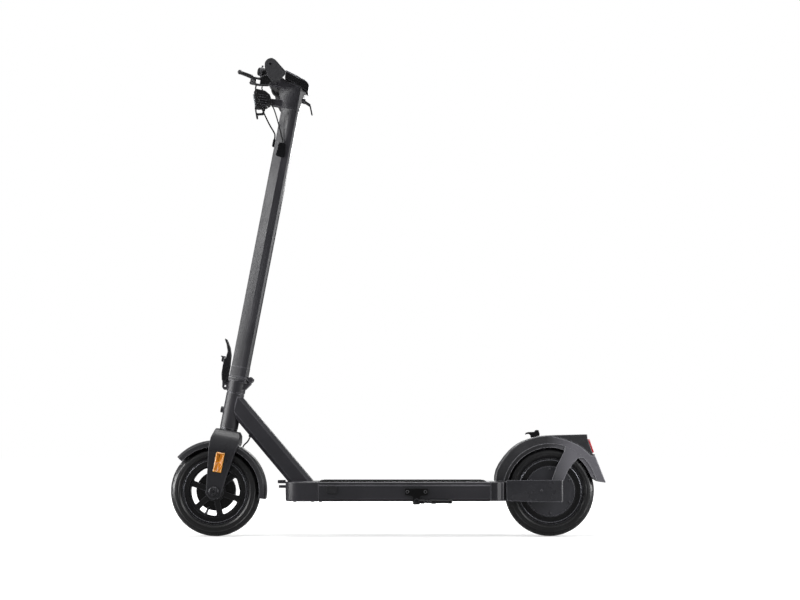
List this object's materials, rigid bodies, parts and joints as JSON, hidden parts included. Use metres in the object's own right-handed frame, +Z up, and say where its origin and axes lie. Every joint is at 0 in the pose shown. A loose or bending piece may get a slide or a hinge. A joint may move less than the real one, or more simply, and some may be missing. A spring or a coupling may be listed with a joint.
{
  "type": "folding electric scooter",
  "caption": "Folding electric kick scooter in satin charcoal: spoked front wheel with drum brake, rear hub motor, raked folding stem, aluminium deck.",
  "frame": {"origin": "on the ground, below the middle of the scooter's length and width", "axes": "+X forward, +Y to the rider's left, +Z up"},
  "size_m": [1.1052, 0.472, 1.1962],
  "materials": {
    "alloy": "cast, bead blasted",
    "bare_steel": "turned",
    "battery_wrap": "shrink wrap",
    "black_plastic": "fine-grained black",
    "black_steel": "satin black coat",
    "copper": "enamelled copper windings on steel",
    "frame_paint": "satin charcoal powder coat",
    "grey_plastic": "dark grey, smooth",
    "lamp_lens": "clear, polished",
    "orange_lens": "amber reflector",
    "red_lens": "clear red",
    "rubber": "matt black",
    "screen_glass": "dark, polished",
    "soft_grip": "soft dark grey",
    "tyre": "black tread rubber"
  },
  "bodies": {
    "frame": {"arm_cover_left": "black_plastic", "arm_cover_right": "black_plastic", "battery_pack": "battery_wrap", "bearing_lower": "black_steel", "bearing_upper": "black_steel", "controller": "alloy", "deck_mat": "rubber", "deck_shell": "frame_paint", "fender_hook": "black_plastic", "head_tube": "frame_paint", "kick_bracket": "black_steel", "lower_cable": "rubber", "motor_stator": "copper", "neck_beam": "frame_paint", "nose_casting": "frame_paint", "rear_axle": "bare_steel", "rear_fender": "black_plastic", "rear_frame": "frame_paint", "tail_housing": "black_plastic", "tail_lens": "red_lens"},
    "steer": {"fork": "frame_paint", "front_axle": "black_steel", "reflector_left": "orange_lens", "reflector_right": "orange_lens", "drum_plate": "alloy", "front_fender": "black_plastic", "lower_collar": "frame_paint", "fold_pin": "bare_steel"},
    "stem": {"stem_base": "frame_paint", "stem_tube": "frame_paint", "stem_head": "frame_paint", "display": "screen_glass", "bar_clamp": "black_steel", "handlebar": "frame_paint", "grip_left": "soft_grip", "grip_right": "soft_grip", "lamp_housing": "black_plastic", "lamp_lens": "lamp_lens", "lever_perch": "black_steel", "bell": "black_plastic", "throttle_housing": "black_plastic", "grommet_side": "rubber", "grommet_front": "rubber", "brake_cable": "rubber", "control_wire": "rubber"},
    "front_wheel": {"front_tyre": "tyre", "front_rim": "frame_paint"},
    "rear_wheel": {"rear_tyre": "tyre", "motor_shell": "frame_paint", "motor_cover": "frame_paint"},
    "latch_lever": {"latch_lever": "black_steel"},
    "latch_trigger": {"latch_trigger": "black_steel"},
    "brake_lever": {"brake_lever": "black_steel"},
    "brake_arm": {"brake_arm": "bare_steel"},
    "throttle": {"throttle_paddle": "grey_plastic"},
    "bell_striker": {"bell_striker": "grey_plastic"},
    "power_button": {"power_button": "grey_plastic"},
    "stow_catch": {"stow_catch": "black_steel"},
    "kickstand": {"kick_leg": "black_steel"},
    "charge_flap": {"charge_flap": "rubber"}
  },
  "joints": [
    {"name": "steer", "type": "hinge", "parent": "frame", "child": "steer", "pos_m": [0.4067, 0, 0.27386], "axis": [-0.184, 0, 0.9829], "range_deg": [-45, 45], "deforming": ["lower_cable"]},
    {"name": "front_wheel_spin", "type": "hinge", "parent": "steer", "child": "front_wheel", "pos_m": [0.4386, 0, 0.1143], "axis": [0, 1, 0], "continuous": true},
    {"name": "rear_wheel_spin", "type": "hinge", "parent": "frame", "child": "rear_wheel", "pos_m": [-0.4114, 0, 0.1143], "axis": [0, 1, 0], "continuous": true},
    {"name": "stem_fold", "type": "hinge", "parent": "steer", "child": "stem", "pos_m": [0.35109, 0, 0.39708], "axis": [0, -1, 0], "range_deg": [0, 88.5]},
    {"name": "latch_lever_turn", "type": "hinge", "parent": "steer", "child": "latch_lever", "pos_m": [0.41762, 0, 0.40037], "axis": [0, 1, 0], "range_deg": [0, 95]},
    {"name": "latch_trigger_press", "type": "hinge", "parent": "latch_lever", "child": "latch_trigger", "pos_m": [0.42417, 0, 0.44636], "axis": [0, 1, 0], "range_deg": [0, 15], "stiffness_Nm_per_rad": 0.02},
    {"name": "brake_lever_pull", "type": "hinge", "parent": "stem", "child": "brake_lever", "pos_m": [0.34163, 0.107, 1.15161], "axis": [-0.184, 0, 0.9829], "range_deg": [0, 22], "stiffness_Nm_per_rad": 0.4},
    {"name": "brake_arm_turn", "type": "hinge", "parent": "steer", "child": "brake_arm", "pos_m": [0.42079, -0.0353, 0.13335], "axis": [0, 1, 0], "range_deg": [0, 12]},
    {"name": "throttle_push", "type": "hinge", "parent": "stem", "child": "throttle", "pos_m": [0.29065, -0.112, 1.16852], "axis": [0, -1, 0], "range_deg": [0, 35], "stiffness_Nm_per_rad": 0.05},
    {"name": "bell_ring", "type": "hinge", "parent": "stem", "child": "bell_striker", "pos_m": [0.32217, 0.08, 1.17951], "axis": [0.9829, 0, 0.184], "range_deg": [0, 35], "stiffness_Nm_per_rad": 0.02},
    {"name": "power_button_press", "type": "slide", "parent": "stem", "child": "power_button", "axis": [0.4531, 0, -0.8915], "range_m": [0, 0.0012], "stiffness_N_per_m": 200},
    {"name": "stow_catch_swing", "type": "hinge", "parent": "stem", "child": "stow_catch", "pos_m": [0.21693, 0, 1.11831], "axis": [0, 1, 0], "range_deg": [-30, 29]},
    {"name": "kickstand_fold", "type": "hinge", "parent": "frame", "child": "kickstand", "pos_m": [-0.07174, 0.0905, 0.0905], "axis": [0, 0.9781, 0.2079], "range_deg": [-100, 0]},
    {"name": "charge_flap_open", "type": "hinge", "parent": "frame", "child": "charge_flap", "pos_m": [0.1415, 0.0818, 0.129], "axis": [1, 0, 0], "range_deg": [0, 110]}
  ],
  "couplings": [
    {"joint": "brake_arm_turn", "follows": "brake_lever_pull", "ratio": 0.54546}
  ]
}
